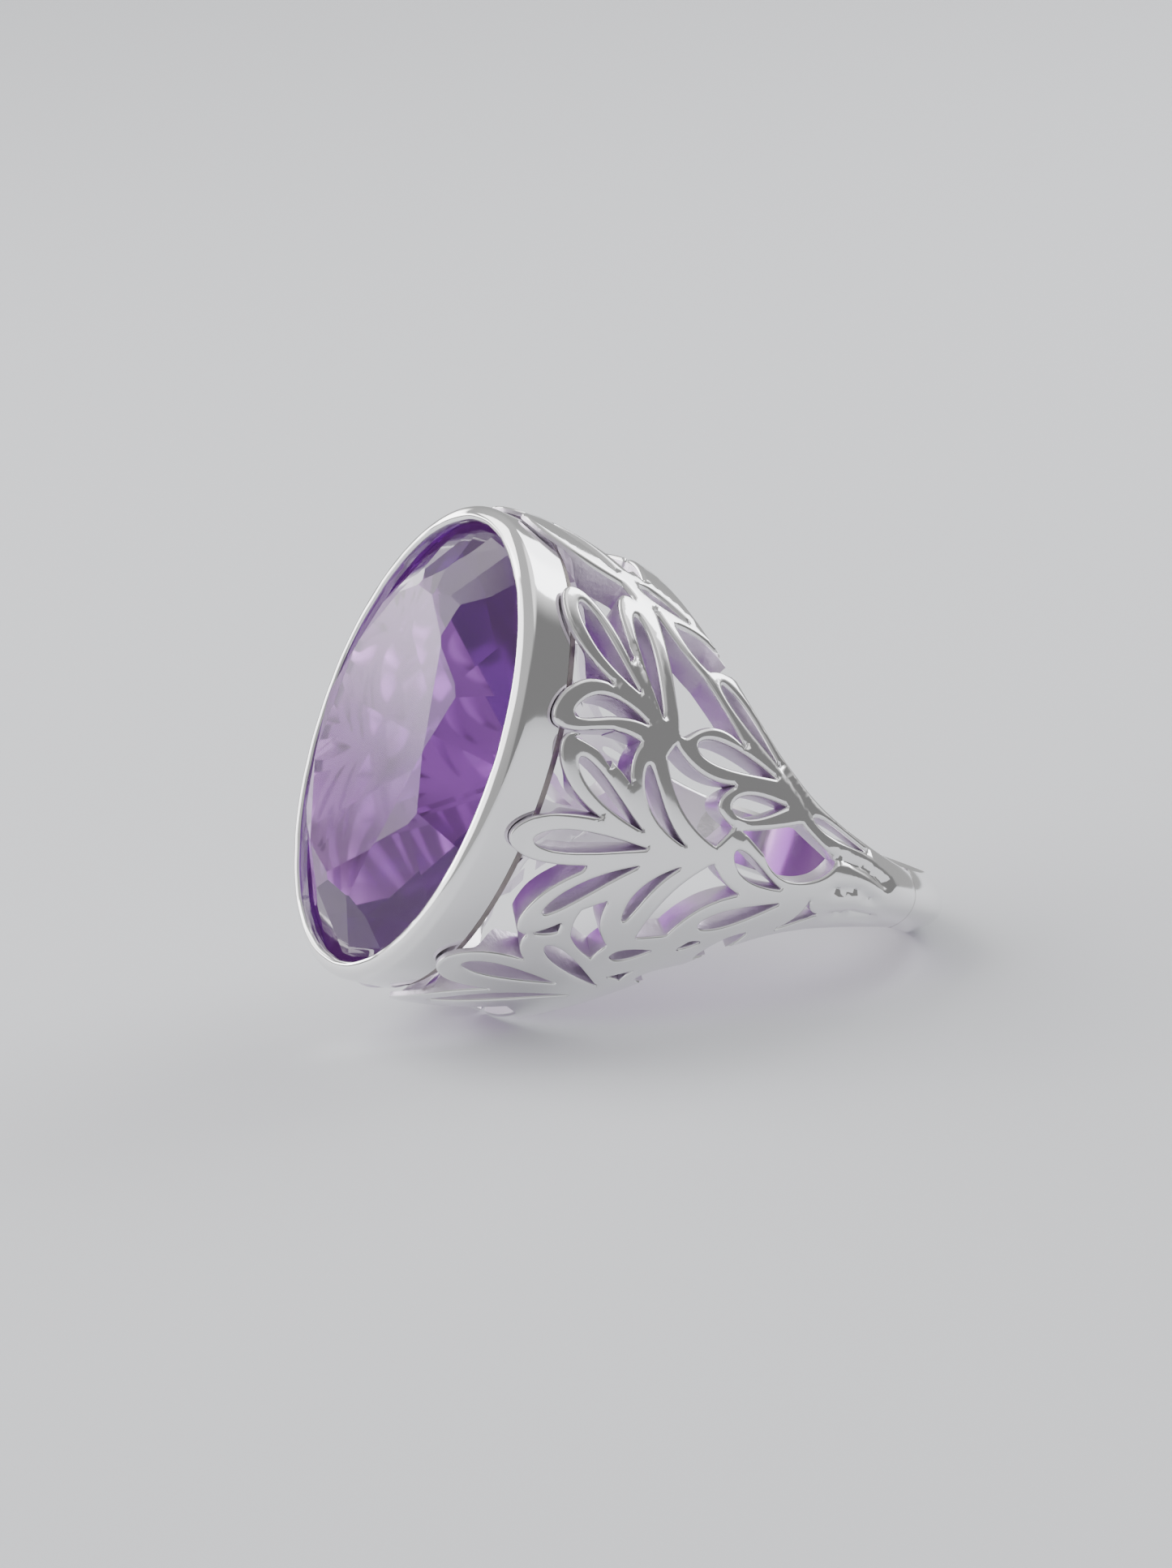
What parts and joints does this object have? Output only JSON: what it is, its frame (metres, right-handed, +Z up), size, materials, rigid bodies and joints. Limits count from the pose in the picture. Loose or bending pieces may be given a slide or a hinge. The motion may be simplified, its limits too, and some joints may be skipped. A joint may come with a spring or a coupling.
{
  "type": "cocktail ring",
  "caption": "Statement ring with a large oval faceted violet stone in a plain bezel collet on domed openwork leaf shoulders and a slim half-round shank, lying on its side.",
  "frame": {"origin": "on the table top under the centre of the ring's bounding box, as the ring lies on its side", "axes": "+Z up. The stone faces -Y and 26 degrees upward, the back of the shank lies at +Y on the table. The finger axis lies in the YZ plane, 26 degrees off vertical, and +X runs across the hand."},
  "size_m": [0.0196, 0.0284, 0.0217],
  "materials": {
    "amethyst": "faceted, polished, clear violet",
    "collet_metal": "mirror-polished white metal, burnished lip",
    "bearing_metal": "satin white metal",
    "shoulder_metal": "polished white metal, satin sawn edges",
    "shank_metal": "mirror-polished white metal",
    "solder": "rough, slightly dull solder"
  },
  "bodies": {
    "root": {"amethyst": "amethyst", "bezel_collet": "collet_metal", "bezel_bearing": "bearing_metal", "shoulder_right": "shoulder_metal", "shoulder_left": "shoulder_metal", "shank_back": "shank_metal", "collet_solder_right": "solder", "collet_solder_left": "solder", "shank_solder_right": "solder", "shank_solder_left": "solder"}
  },
  "joints": []
}
